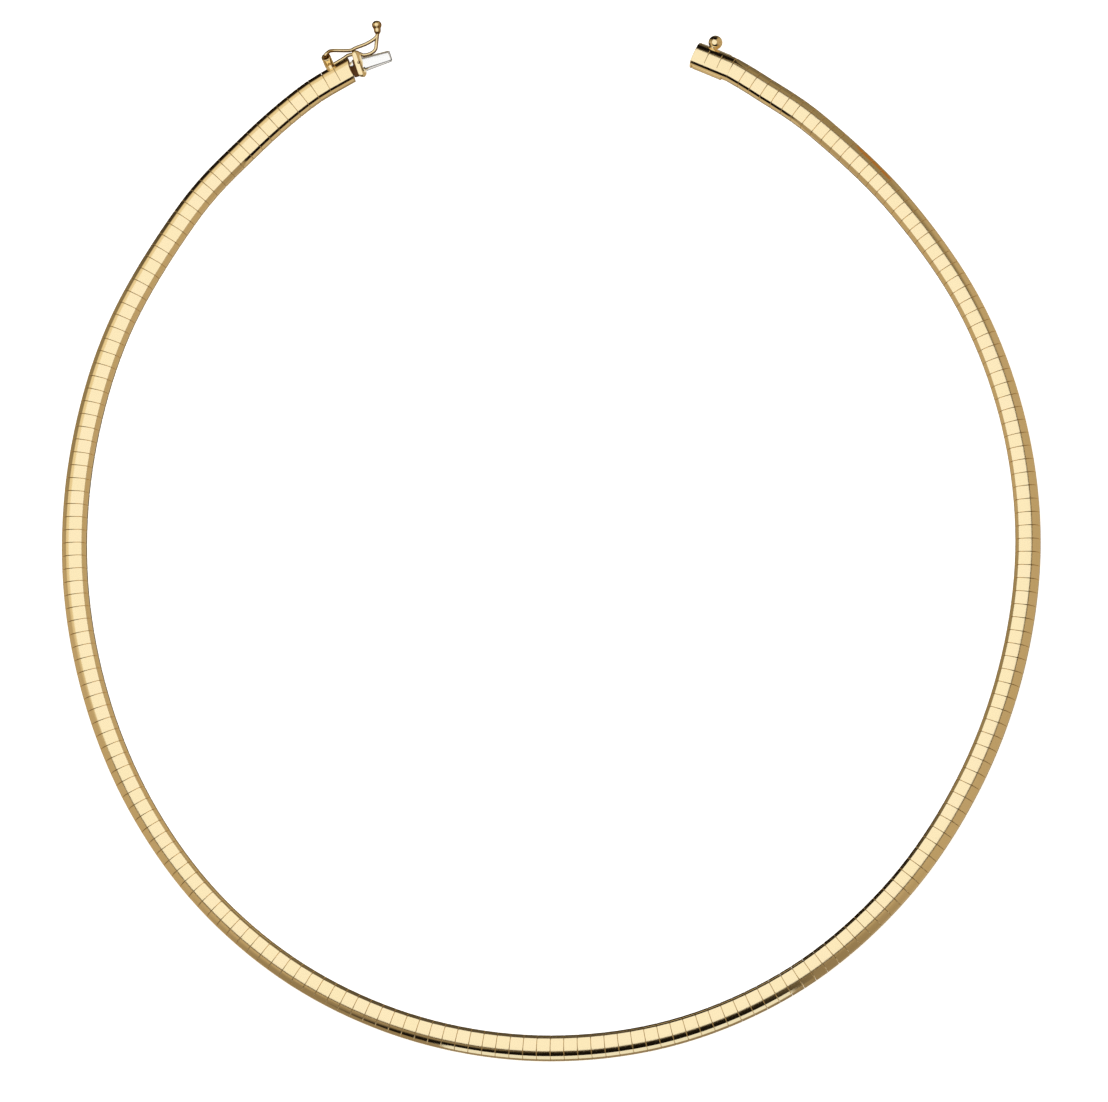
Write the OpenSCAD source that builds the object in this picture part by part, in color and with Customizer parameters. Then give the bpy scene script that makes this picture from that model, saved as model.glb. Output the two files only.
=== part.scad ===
// Omega necklace with a box clasp and a figure-eight safety catch, lying open.
// Millimetres. Z = 0 is the surface it lies on. The band runs clockwise, seen
// from above, from the mouth of the clasp box to the end of the tongue cap.

/* [Band] */
// Width of the band over its plates
band_w = 3.85; // [3.4:0.05:6]
// Height of the band at its crown
band_h = 2.1; // [1.8:0.05:3]
// Radius of the rounded shoulders
shoulder_r = 1.18; // [0.6:0.02:1.3]
// Radius of the low crown between the shoulders
crown_r = 5; // [4:0.5:12]
// Thickness of the sheet that the plates are folded from
sheet_t = 0.25; // [0.15:0.05:0.3]
// Width of the lip folded under on each side
lip_w = 0.9; // [0.5:0.05:1.2]
// Number of plates between the cap and the box
plate_count = 203; // [60:1:210]
// Gap between two plates at the middle of the band
plate_gap = 0.18; // [0.15:0.01:0.4]
// Gap between the end plates and the box or the cap
end_gap = 0.35; // [0.25:0.05:0.6]

/* [Core] */
// Play of the woven core beside it, between the folded sides of a plate
core_side = 0.175; // [0.1:0.025:0.6]
// Thickness of the woven core
core_t = 1; // [0.6:0.05:1.2]
// Clearance between the core and what holds it
core_gap = 0.06; // [0.04:0.01:0.1]

/* [Clasp box] */
// Length of the box along the band
box_l = 6.45; // [6.2:0.05:8]
// Length of the tray soldered under the box
tray_l = 5.4; // [4.8:0.1:6]
// Thickness of the tray's side walls outside the band
tray_wall = 0.2; // [0.15:0.05:0.4]
// Height of the tray's side walls
tray_h = 1.1; // [0.8:0.05:1.3]
// Width of the rim folded round the mouth
rim_w = 0.3; // [0.2:0.05:0.5]
// Width of the scored lines
score_w = 0.14; // [0.08:0.02:0.3]
// Depth of the scored lines
score_deep = 0.12; // [0.05:0.01:0.15]
// Distance of the first scored line on the box from its mouth
score_at = 2.2; // [1.5:0.05:2.6]
// Distance from the first scored line to the second
score_step = 2.15; // [1.5:0.05:2.6]
// Diameter of the ball knob
knob_d = 2.2; // [1.6:0.1:2.6]
// Distance of the ball knob from the mouth
knob_at = 2.25; // [1.6:0.05:3]
// How far the centre of the knob stands off the band's side
knob_out = 1; // [0.6:0.05:1.05]

/* [Tongue cap] */
// Length of the cap along the band
cap_l = 4.8; // [4.6:0.05:6]
// Distance of the scored line on the cap from the cap's end
cap_score_at = 2.8; // [2:0.05:3.2]
// Width of the bevel at the end of the cap
cap_bevel = 0.5; // [0.2:0.05:0.8]
// Depth of the seat of the core, in the cap and in the box
core_seat = 1.2; // [0.8:0.05:1.4]

/* [Tongue] */
// Length of the tongue in front of the stop bar
tongue_l = 4.35; // [3:0.05:4.5]
// Width of the tongue beside the stop bar
tongue_w = 2; // [1.4:0.1:2.2]
// Width of the tongue at its tip
tip_w = 1.7; // [1:0.1:1.8]
// Thickness of the tongue's strip
leaf_t = 0.25; // [0.15:0.05:0.3]
// Height of the tongue's underside above the surface
tongue_z = 0.4; // [0.35:0.05:0.5]
// Height of the tongue from its underside to its top, beside the bar
tongue_h = 1.25; // [1:0.05:1.25]
// Outer radius of the fold at the tip
fold_r = 0.34; // [0.3:0.02:0.4]
// Width of the neck between the cap and the tongue
neck_w = 1.6; // [1.2:0.1:1.8]
// Length of the neck inside the cap
neck_in = 1; // [0.6:0.05:1.1]
// Turn of the tongue out of line with the cap, in degrees
tongue_turn = 11; // [0:1:14]
// Clearance of the tongue in the cap and the bar
tongue_gap = 0.06; // [0.04:0.01:0.1]
// Clearance of the tongue in the mouth of the box
mouth_gap = 0.1; // [0.05:0.01:0.12]

/* [Stop bar] */
// Length of the stop bar across the band
bar_l = 4.4; // [3.6:0.1:4.6]
// Thickness of the stop bar along the band
bar_t = 1.25; // [0.8:0.05:1.3]
// Height of the stop bar
bar_h = 1.3; // [1.2:0.05:1.5]
// Height of the bar's underside above the surface
bar_z = 0.9; // [0.9:0.05:1]
// Gap between the cap and the stop bar
bar_at = 0.55; // [0.5:0.05:0.8]
// Shift of the bar towards the outside of the band
bar_shift = 0.2; // [0:0.05:0.45]
// Diameter of the dimple in the top of the bar
dimple_d = 0.4; // [0.2:0.05:0.6]

/* [Hinge tube] */
// Outer diameter of the hinge tube
tube_d = 1.5; // [1.3:0.05:1.6]
// Length of the hinge tube
tube_l = 2.3; // [2:0.05:2.6]
// Lean of the tube out of the upright, in degrees
tube_lean = 20; // [15:1:30]
// Distance of the tube's axis from the end of the cap
tube_back = 3.05; // [2.2:0.05:3.2]
// Distance of the axis from the band's side, at the tube's foot
tube_out = 0.45; // [0.4:0.05:0.6]
// Height of the middle of the tube's foot
tube_z = 0.7; // [0.7:0.05:0.9]

/* [Safety catch] */
// Diameter of the catch's wire
wire_d = 0.53; // [0.4:0.01:0.6]
// Clearance all round the wire in the tube
wire_gap = 0.08; // [0.03:0.01:0.09]
// Reach of the wire from the hinge axis to its thumb ball
catch_l = 9.5; // [8.5:0.1:10]
// Diameter of the thumb ball
ball_d = 1.45; // [1:0.05:1.6]

/* [Hidden] */
$fn = 48;
bite = 0.1;
// The shoulders' centres are raised this much, so that they cross the crown at a clear angle
shoulder_up = 0.002;

// The way of the band's middle line: bearing clockwise from +Y, in degrees,
// and distance from the middle of the ring, in millimetres.
ROUTE = [
    [15.9, 83.65], [19, 83.2], [24, 81.7], [32, 79.8], [45, 77.25], [60, 75.5], [75, 74.2],
    [90, 73.55], [105, 73.3], [120, 73.85], [135, 75], [150, 76.05], [165, 76.4], [180, 76.1],
    [195, 75.55], [210, 74.95], [225, 74.3], [240, 73.75], [255, 73.8], [270, 74.8], [285, 76.5],
    [300, 79], [315, 81.7], [325, 83.6], [333, 85.6], [338.7, 86.5]
];
ring_mid = [0.8, -5];
steps = 12;

// The knees where the catch's wire leaves its pin, at the top and at the foot: reach
// along the band, stand-off from the band's side and height, in wire diameters.
KNEES = [[1.434, 3.00, 5.90], [1.434, 0.80, 0.56]];

// The wire from the upper knee round to the lower one: reach along the band as a
// share of catch_l, stand-off and height in wire diameters.
WIRE = [
    [0.16, 3.20, 4.90], [0.41, 1.30, 3.00], [0.52, 1.25, 2.45],
    [0.73, 1.00, 1.70], [0.905, 1.30, 1.70], [0.965, 2.20, 2.25], [0.875, 0.20, 1.15],
    [0.795, -1.55, 0.66], [0.69, -1.90, 0.56], [0.58, -1.30, 0.56], [0.52, -0.15, 0.60],
    [0.36, 0.95, 0.80], [0.27, 0.85, 0.80]
];
ball_row = 6;

half_w = band_w / 2;
inner_w = band_w - 2 * sheet_t;
core_w = inner_w - 2 * core_side;
core_z = sheet_t + core_gap;
bore_d = wire_d + 2 * wire_gap;
bar_mid = bar_at + bar_t / 2;
bar_front = bar_at + bar_t;
tip_x = bar_front + tongue_l;
fold_x = tip_x - fold_r;

// A smooth curve through the points of the route, the distance run along it, and
// the band's middle line, which is straight in the box and in the cap
function way(p) = ring_mid + p[1] * [sin(p[0]), cos(p[0])];
function bow(a, b, c, d, t) = 0.5 * (2 * b + (c - a) * t + (2 * a - 5 * b + 4 * c - d) * t * t
    + (3 * b - a - 3 * c + d) * t * t * t);
marks = [for (p = ROUTE) way(p)];
last = len(marks) - 1;
knots = concat([2 * marks[0] - marks[1]], marks, [2 * marks[last] - marks[last - 1]]);
curve = concat(
    [for (i = [0:last - 1]) for (j = [0:steps - 1])
        bow(knots[i], knots[i + 1], knots[i + 2], knots[i + 3], j / steps)],
    [marks[last]]);
ends = len(curve) - 1;
run = [for (i = 0, s = 0; i <= ends; s = s + (i < ends ? norm(curve[i + 1] - curve[i]) : 0), i = i + 1) s];
band_l = run[ends];
run_x = [for (i = [0:ends]) [run[i], curve[i][0]]];
run_y = [for (i = [0:ends]) [run[i], curve[i][1]]];
function bend(s) = [lookup(s, run_x), lookup(s, run_y)];
function at(s) = s < box_l ? bend(0) + (bend(box_l) - bend(0)) * s / box_l
    : s > band_l - cap_l ? bend(band_l) + (bend(band_l - cap_l) - bend(band_l)) * (band_l - s) / cap_l
    : bend(s);
function heading(s) = let (d = at(min(s + 1, band_l)) - at(max(s - 1, 0))) atan2(d[1], d[0]);

plates_from = box_l + end_gap;
plates_to = band_l - cap_l - end_gap;
pitch = (plates_to - plates_from + plate_gap) / plate_count;
plate_l = pitch - plate_gap;

// Stands its children on the route: X runs on along the band, Y points outwards
module on_route(s) {
    translate([at(s)[0], at(s)[1], 0]) rotate([0, 0, heading(s)]) children();
}

module cap_frame() on_route(band_l) children();

module tongue_frame() cap_frame() rotate([0, 0, -tongue_turn]) children();

// Draws a section across the band and runs it along X
module along(l) rotate([90, 0, 90]) linear_extrude(height = l) children();

// Section of the band, drawn in by inset: flat below, with round shoulders that run
// smoothly into a low crown, but for a turn of two or three degrees
module section(inset = 0, base = 0) {
    half = half_w - inset;
    turn = asin((half_w - shoulder_r) / (crown_r - shoulder_r));
    shoulder_z = band_h - crown_r + (crown_r - shoulder_r) * cos(turn) + shoulder_up;
    join = (crown_r - inset) * sin(turn);
    intersection() {
        union() {
            translate([-half, base]) square([2 * half, shoulder_z - base]);
            translate([-join, base]) square([2 * join, band_h - base]);
            for (side = [-1, 1]) translate([side * (half_w - shoulder_r), shoulder_z]) circle(shoulder_r - inset);
        }
        translate([-half, base]) square([2 * half, band_h - base]);
        translate([0, band_h - crown_r]) circle(crown_r - inset, $fn = 180);
    }
}

module core_section(gap = 0) {
    translate([-core_w / 2 - gap, core_z - gap]) square([core_w + 2 * gap, core_t + 2 * gap]);
}

module plate() {
    along(plate_l) difference() {
        section();
        section(sheet_t, sheet_t);
        translate([lip_w - half_w, -bite]) square([band_w - 2 * lip_w, sheet_t + 2 * bite]);
    }
}

module plates() {
    color("gold") for (i = [0:plate_count - 1]) {
        s = plates_from + pitch * (i + 0.5);
        on_route(s - plate_gap / 2) translate([-plate_l / 2, 0, 0]) plate();
    }
}

// The woven core, swept along the whole band and into its two seats
core_from = box_l - core_seat + core_gap;
core_to = band_l - cap_l + core_seat - core_gap;
core_rings = 120;
core_edge = 0.2;
CORE_RING = [
    [-core_w / 2, core_edge], [-core_w / 2, core_t - core_edge], [core_edge - core_w / 2, core_t],
    [core_w / 2 - core_edge, core_t], [core_w / 2, core_t - core_edge], [core_w / 2, core_edge],
    [core_w / 2 - core_edge, 0], [core_edge - core_w / 2, 0]
];

module woven_core() {
    n = len(CORE_RING);
    stands = concat([core_from], [for (i = [0:core_rings]) box_l + (band_l - cap_l - box_l) * i / core_rings],
        [core_to]);
    points = [
        for (s = stands) let (h = heading(s))
            for (p = CORE_RING) [at(s)[0] - p[0] * sin(h), at(s)[1] + p[0] * cos(h), core_z + p[1]]
    ];
    sides = [
        for (i = [0:core_rings + 1]) for (j = [0:n - 1])
            [i * n + j, i * n + (j + 1) % n, (i + 1) * n + (j + 1) % n, (i + 1) * n + j]
    ];
    first = [for (j = [n - 1:-1:0]) j];
    final = [for (j = [0:n - 1]) (core_rings + 2) * n + j];
    color("goldenrod") polyhedron(points, concat([first], sides, [final]));
}

module knob() {
    translate([knob_at, half_w + knob_out, knob_d / 2]) sphere(d = knob_d);
    translate([knob_at, half_w - tray_wall, knob_d / 2]) rotate([-90, 0, 0])
        cylinder(d = knob_d / 2, h = tray_wall + knob_out);
}

// The box: open at its mouth for the tongue, and at its back for the core
module clasp_box() {
    mouth_w = tongue_w + 2 * mouth_gap;
    color("gold") on_route(0) difference() {
        union() {
            along(box_l) section();
            along(rim_w) tray_section();
            translate([rim_w + score_w, 0, 0]) along(tray_l - rim_w - score_w) tray_section();
            knob();
        }
        translate([-bite, -mouth_w / 2, tongue_z - mouth_gap])
            cube([tongue_l + mouth_gap + bite, mouth_w, tongue_h + 2 * mouth_gap]);
        translate([box_l - core_seat, 0, 0]) along(core_seat + bite) core_section(core_gap);
        for (s = [score_at, score_at + score_step]) translate([s, 0, 0]) along(score_w) score_section(tray_h);
    }
}

module tray_section() {
    translate([-half_w - tray_wall, 0]) square([band_w + 2 * tray_wall, tray_h]);
}

module score_section(from) {
    difference() {
        translate([-band_w, from]) square([2 * band_w, band_h]);
        section(score_deep);
    }
}

// Stands its children with Z along the hinge tube's axis, from its foot
module tube_frame() {
    cap_frame() translate([-tube_back, half_w + tube_out, tube_z]) rotate([0, 0, -tongue_turn])
        rotate([-tube_lean, 0, 0]) children();
}

module tongue_cap() {
    color("gold") difference() {
        union() {
            cap_frame() cap_body();
            tube_frame() cylinder(d = tube_d, h = tube_l);
            cap_frame() translate([-tube_back, half_w - tube_out, tube_z + wire_d]) rotate([-90, 0, 0])
                cylinder(d = tube_d - 2 * wire_gap, h = 2 * tube_out);
        }
        tube_frame() translate([0, 0, -tube_l]) cylinder(d = bore_d, h = 3 * tube_l);
        cap_frame() translate([-cap_l - bite, 0, 0]) along(core_seat + bite) core_section(core_gap);
        tongue_frame() translate([-neck_in - tongue_gap, -neck_w / 2 - tongue_gap, tongue_z - tongue_gap])
            cube([neck_in + tongue_gap + bite, neck_w + 2 * tongue_gap, leaf_t + 2 * tongue_gap]);
    }
}

// The cap's body, its bevelled end square with the tongue
module cap_body() {
    difference() {
        translate([-cap_l, 0, 0]) along(cap_l + band_w * sin(tongue_turn)) section();
        rotate([0, 0, -tongue_turn]) {
            translate([0, -band_w, -bite]) cube([band_w, 2 * band_w, 2 * band_h]);
            translate([-cap_bevel, -band_w, band_h]) rotate([0, 45, 0]) cube([band_w, 2 * band_w, band_w]);
        }
        translate([-cap_score_at, 0, 0]) along(score_w) score_section(band_h / 2);
    }
}

// The tongue: a strip folded back on itself at the tip
module tongue() {
    color("silver") tongue_frame() intersection() {
        rotate([90, 0, 0]) linear_extrude(height = 2 * tongue_w, center = true) tongue_side();
        linear_extrude(height = 2 * band_h) tongue_plan();
    }
}

module tongue_plan() {
    shoulder = bar_front + tongue_gap;
    polygon([
        [-neck_in, -neck_w / 2], [shoulder, -neck_w / 2], [shoulder, -tongue_w / 2],
        [tip_x, -tip_w / 2], [tip_x, tip_w / 2],
        [shoulder, tongue_w / 2], [shoulder, neck_w / 2], [-neck_in, neck_w / 2]
    ]);
}

leaf_end = bar_front - bar_t / 2;
leaf_slope = (tongue_h - 2 * fold_r) / (fold_x - bar_front);
function leaf_top(x) = tongue_z + 2 * fold_r + (fold_x - x) * leaf_slope;

module tongue_side() {
    difference() {
        leaf_outline(leaf_end, 0);
        leaf_outline(leaf_end - bite, leaf_t);
    }
    translate([-neck_in, tongue_z]) square([bar_front + neck_in, leaf_t]);
}

module leaf_outline(from, inset) {
    polygon([
        [from, tongue_z + inset], [fold_x, tongue_z + inset],
        [fold_x, leaf_top(fold_x) - inset], [from, leaf_top(from) - inset]
    ]);
    translate([fold_x, tongue_z + fold_r]) circle(fold_r - inset);
}

module stop_bar() {
    color("gold") tongue_frame() difference() {
        intersection() {
            translate([bar_at, bar_shift + bar_l / 2, bar_z]) rotate([90, 0, 0]) linear_extrude(height = bar_l) {
                square([bar_t, bar_h - bar_t / 2]);
                translate([bar_t / 2, bar_h - bar_t / 2]) circle(d = bar_t);
            }
            linear_extrude(height = 2 * band_h) bar_plan();
        }
        translate([bar_mid, bar_shift, bar_z + bar_h - dimple_d / 2]) cylinder(d = dimple_d, h = dimple_d);
        translate([leaf_end - tongue_gap, -neck_w / 2 - tongue_gap, leaf_top(bar_front) - leaf_t - tongue_gap])
            cube([bar_t, neck_w + 2 * tongue_gap, leaf_top(leaf_end) - leaf_top(bar_front) + leaf_t + 2 * tongue_gap]);
    }
}

module bar_plan() {
    translate([bar_at, bar_shift - bar_l / 2 + bar_t / 2]) square([bar_t, bar_l - bar_t]);
    for (end = [-1, 1]) translate([bar_mid, bar_shift + end * (bar_l - bar_t) / 2]) circle(d = bar_t);
}

// The safety catch: a wire through the tube, both legs drawn on into a far loop. The bends
// and the ball are joined first, and meet the round pin as one body.
stub = wire_gap + wire_d / 2;
wire_sides = 12;
wire_steps = 5;
// The bent wire is drawn this much thinner than its pin, to run into it without a ridge
bend_cut = 0.02;
function lean(t) = [t * sin(tube_lean) * sin(tongue_turn) - tube_back,
    half_w + tube_out + t * sin(tube_lean) * cos(tongue_turn), tube_z + t * cos(tube_lean)];
function on_wire(reach, p) = [reach - tube_back, half_w + p[1] * wire_d, p[2] * wire_d];
far_way = concat(
    [on_wire(KNEES[0][0] * wire_d, KNEES[0])],
    [for (p = WIRE) on_wire(p[0] * catch_l, p)],
    [on_wire(KNEES[1][0] * wire_d, KNEES[1])]);
wire_knots = concat([lean(tube_l - stub), lean(tube_l + stub)], far_way, [lean(-stub), lean(stub)]);
wire_way = concat(
    [lean(tube_l)],
    [for (i = [1:len(wire_knots) - 3]) for (j = [0:wire_steps - 1])
        bow(wire_knots[i - 1], wire_knots[i], wire_knots[i + 1], wire_knots[i + 2], j / wire_steps)],
    [lean(-stub), lean(0)]);

// The thumb ball: share of its length from the wire, width as a share of ball_d
BALL = [
    [0, 0.4], [0.12, 0.66], [0.27, 0.72], [0.4, 0.74], [0.52, 0.9], [0.65, 1],
    [0.77, 0.98], [0.88, 0.8], [0.95, 0.54], [1, 0.18]
];
ball_l = 1.4 * ball_d;
ball_dir = [0.39, 0.9, 0.2];
ball_from = far_way[ball_row] - wire_d * ball_dir / 2;

// A round bar with the given widths at the points of a way; side_on is never in line with it
module turned(points, widths, side_on) {
    n = len(points) - 1;
    rings = [
        for (i = [0:n]) let (t = points[min(i + 1, n)] - points[max(i - 1, 0)],
                u = cross(t, side_on) / norm(cross(t, side_on)), v = cross(t, u) / norm(t))
            for (j = [0:wire_sides - 1]) let (a = 360 * j / wire_sides)
                points[i] + widths[i] / 2 * (u * cos(a) - v * sin(a))
    ];
    sides = [
        for (i = [0:n - 1]) for (j = [0:wire_sides - 1]) let (k = (j + 1) % wire_sides)
            [i * wire_sides + j, i * wire_sides + k, (i + 1) * wire_sides + k, (i + 1) * wire_sides + j]
    ];
    first = [for (j = [wire_sides - 1:-1:0]) j];
    final = [for (j = [0:wire_sides - 1]) n * wire_sides + j];
    polyhedron(rings, concat([first], sides, [final]));
}

module safety_catch() {
    bend_d = wire_d - bend_cut;
    across = [0, sin(tube_lean), -cos(tube_lean)];
    color("gold") {
        tube_frame() translate([0, 0, -stub]) cylinder(d = wire_d, h = tube_l + 2 * stub);
        cap_frame() resize([0, 0, 0]) {
            turned(wire_way, [for (p = wire_way) bend_d], across);
            turned([for (p = BALL) ball_from + p[0] * ball_l * ball_dir], [for (p = BALL) p[1] * ball_d], across);
        }
    }
}

woven_core();
plates();
clasp_box();
tongue_cap();
tongue();
stop_bar();
safety_catch();
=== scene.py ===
# %% [markdown]
# # An omega necklace, lying open
# An omega necklace is a row of small gold plates folded over a woven mesh band. It is stiff, so
# it keeps its ring shape when it is laid down. This lesson dresses the measured solids with
# polished plates, a real weave, a smooth wire catch and a photographer's light.
# The solids come first, because every piece is then placed by their numbers and not by eye.

# %% Load the measured solids
import bmesh
import bpy
import math
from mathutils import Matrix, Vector


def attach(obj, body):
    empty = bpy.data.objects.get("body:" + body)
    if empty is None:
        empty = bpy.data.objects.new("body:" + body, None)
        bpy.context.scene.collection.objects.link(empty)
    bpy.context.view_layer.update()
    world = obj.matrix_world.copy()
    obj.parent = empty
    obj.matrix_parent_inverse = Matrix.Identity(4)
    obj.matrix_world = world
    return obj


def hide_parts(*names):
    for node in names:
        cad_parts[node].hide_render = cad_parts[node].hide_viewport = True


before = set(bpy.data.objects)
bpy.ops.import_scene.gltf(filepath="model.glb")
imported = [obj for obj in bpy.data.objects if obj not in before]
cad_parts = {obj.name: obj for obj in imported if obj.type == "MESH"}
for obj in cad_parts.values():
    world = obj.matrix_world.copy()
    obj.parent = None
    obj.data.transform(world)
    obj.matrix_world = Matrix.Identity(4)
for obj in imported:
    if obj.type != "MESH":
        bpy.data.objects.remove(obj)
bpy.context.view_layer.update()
MM = 0.001
print("solids:", sorted(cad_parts))

# %% [markdown]
# ## The camera
# The photographer stood almost straight above the necklace, with a long lens. A long lens
# matters: a short one would spread the near side of the ring. We place the camera by its aim, its
# distance and two angles, and give it a roll that keeps +Y upright in the picture.

# %% Camera
AIM = Vector((1.3, -3.7, 0.0)) * MM
CAMERA_FAR = 900 * MM
CAMERA_ABOVE = math.radians(74.5)
CAMERA_ROUND = math.radians(30)
CAMERA_LENS = 189.5

towards_camera = Vector((
    math.sin(CAMERA_ROUND) * math.cos(CAMERA_ABOVE),
    -math.cos(CAMERA_ROUND) * math.cos(CAMERA_ABOVE),
    math.sin(CAMERA_ABOVE),
))
picture_up = Vector((0, 1, 0)) - towards_camera * towards_camera.y
picture_up.normalize()
picture_right = picture_up.cross(towards_camera)

camera_data = bpy.data.cameras.new("copy_stand")
camera_data.lens = CAMERA_LENS
camera_data.sensor_width = 36
camera_data.clip_start = 0.01
camera_data.clip_end = 10
camera = bpy.data.objects.new("copy_stand", camera_data)
bpy.context.scene.collection.objects.link(camera)
camera.rotation_mode = "QUATERNION"
turn = camera.matrix_world.to_3x3()
turn.col[0] = picture_right
turn.col[1] = picture_up
turn.col[2] = towards_camera
camera.rotation_quaternion = turn.to_quaternion()
camera.location = AIM + towards_camera * CAMERA_FAR
bpy.context.scene.camera = camera
print("camera at, mm:", [round(v / MM) for v in camera.location])

# %% [markdown]
# ## Small helpers for materials
# Nodes are easier to read when one short call makes a node with its settings. The ramp is the
# one that comes back most: a soft step from one value to another.

# %% Material helpers
def new_material(name):
    """A material with a Principled shader; returns the material, its node tree and the shader."""
    material = bpy.data.materials.new(name)
    material.use_nodes = True
    shader = material.node_tree.nodes["Principled BSDF"]
    return material, material.node_tree, shader


def add(tree, kind, **settings):
    """One new node with its settings."""
    node = tree.nodes.new(kind)
    for key, value in settings.items():
        setattr(node, key, value)
    return node


def ramp(tree, low, high, out_low, out_high, smooth=True):
    """A node that turns low..high into out_low..out_high."""
    node = add(tree, "ShaderNodeMapRange")
    if smooth:
        node.interpolation_type = "SMOOTHSTEP"
    node.inputs["From Min"].default_value = low
    node.inputs["From Max"].default_value = high
    node.inputs["To Min"].default_value = out_low
    node.inputs["To Max"].default_value = out_high
    return node


# %% [markdown]
# ## The surroundings
# Polished gold shows what stands around it, so the surroundings are most of its colour. The
# photograph has warm walls, a black gap on the photographer's side and a dark side opposite.
# They could be modelled as boards, but a world shader that looks only at a ray's bearing and its
# angle from straight up can hold them all, and costs nothing to render.

# %% World angles
world = bpy.data.worlds.new("studio")
bpy.context.scene.world = world
world.use_nodes = True
sky = world.node_tree
sky.nodes.clear()
direction = add(sky, "ShaderNodeTexCoord")
parts = add(sky, "ShaderNodeSeparateXYZ")
sky.links.new(direction.outputs["Generated"], parts.inputs["Vector"])
from_zenith = add(sky, "ShaderNodeMath", operation="ARCCOSINE")
sky.links.new(parts.outputs["Z"], from_zenith.inputs[0])
bearing_of = add(sky, "ShaderNodeMath", operation="ARCTAN2")
sky.links.new(parts.outputs["X"], bearing_of.inputs[0])
sky.links.new(parts.outputs["Y"], bearing_of.inputs[1])


def times(a, b):
    """The product of two masks."""
    node = add(sky, "ShaderNodeMath", operation="MULTIPLY")
    sky.links.new(a, node.inputs[0])
    sky.links.new(b, node.inputs[1])
    return node.outputs["Value"]


def below(angle, soft):
    """1 for rays that point further from straight up than the angle."""
    mask = ramp(sky, math.radians(angle - soft), math.radians(angle + soft), 0, 1)
    sky.links.new(from_zenith.outputs["Value"], mask.inputs["Value"])
    return mask.outputs["Result"]


def above(angle, soft):
    """1 for rays that point nearer to straight up than the angle."""
    mask = ramp(sky, math.radians(angle - soft), math.radians(angle + soft), 1, 0)
    sky.links.new(from_zenith.outputs["Value"], mask.inputs["Value"])
    return mask.outputs["Result"]


def towards(bearing, half, soft):
    """1 for rays within half degrees of a bearing, counted clockwise from +Y."""
    turned_by = add(sky, "ShaderNodeMath", operation="SUBTRACT")
    sky.links.new(bearing_of.outputs["Value"], turned_by.inputs[0])
    turned_by.inputs[1].default_value = math.radians(bearing)
    near = add(sky, "ShaderNodeMath", operation="COSINE")
    sky.links.new(turned_by.outputs["Value"], near.inputs[0])
    mask = ramp(sky, math.cos(math.radians(half + soft)), math.cos(math.radians(half - soft)), 0, 1)
    sky.links.new(near.outputs["Value"], mask.inputs["Value"])
    return mask.outputs["Result"]


# %% World colours
def laid_over(under, colour, mask):
    """A colour laid over another where the mask is 1."""
    mix = add(sky, "ShaderNodeMix", data_type="RGBA")
    sky.links.new(mask, mix.inputs["Factor"])
    if isinstance(under, tuple):
        mix.inputs["A"].default_value = under
    else:
        sky.links.new(under, mix.inputs["A"])
    mix.inputs["B"].default_value = colour
    return mix.outputs["Result"]


WARM_WALL = (0.52, 0.412, 0.268, 1)
DIM_WALL = (0.30, 0.235, 0.15, 1)
FAR_WALL = (0.30, 0.24, 0.145, 1)
GLOW = (0.84, 0.74, 0.55, 1)
BLACK_GAP = (0.006, 0.004, 0.002, 1)
DARK_SIDE = (0.10, 0.082, 0.057, 1)
DARKEST = (0.012, 0.008, 0.005, 1)

look = laid_over(WARM_WALL, DIM_WALL, towards(184, 54, 12))
look = laid_over(look, FAR_WALL, times(towards(12, 22, 8), below(20, 4)))
look = laid_over(look, FAR_WALL, times(towards(307, 20, 8), below(48, 5)))
look = laid_over(look, GLOW, times(towards(318, 32, 10), above(45, 5)))
look = laid_over(look, DARK_SIDE, times(towards(352, 26, 9), below(64, 6)))
look = laid_over(look, DARKEST, times(towards(327, 17, 5), below(54, 4)))
look = laid_over(look, BLACK_GAP, times(towards(184, 35, 5), above(82, 4)))
shine = add(sky, "ShaderNodeBackground")
sky.links.new(look, shine.inputs["Color"])
result = add(sky, "ShaderNodeOutputWorld")
sky.links.new(shine.outputs["Background"], result.inputs["Surface"])
bpy.context.scene.view_settings.view_transform = "Standard"
print("world nodes:", len(sky.nodes))

# %% [markdown]
# ## The sheet of light
# A small round diffuser hangs close above the necklace. It is so near that the outer side of
# the band looks past its edge sooner than the inner side does. That is why the bright
# stripe lies nearer the inside all the way round. A light at infinity cannot do that, so it is
# a real disc here. It has a thin dark rim, which draws the fine line beside the bright stripe;
# the rim is left open on the far left, where the photograph shows no such line.

# %% Glowing materials
def glowing(name, colour, strength):
    """A material that only gives light."""
    material = bpy.data.materials.new(name)
    material.use_nodes = True
    tree = material.node_tree
    tree.nodes.clear()
    glow = add(tree, "ShaderNodeEmission")
    glow.inputs["Color"].default_value = colour
    glow.inputs["Strength"].default_value = strength
    out = add(tree, "ShaderNodeOutputMaterial")
    tree.links.new(glow.outputs["Emission"], out.inputs["Surface"])
    return material


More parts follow.
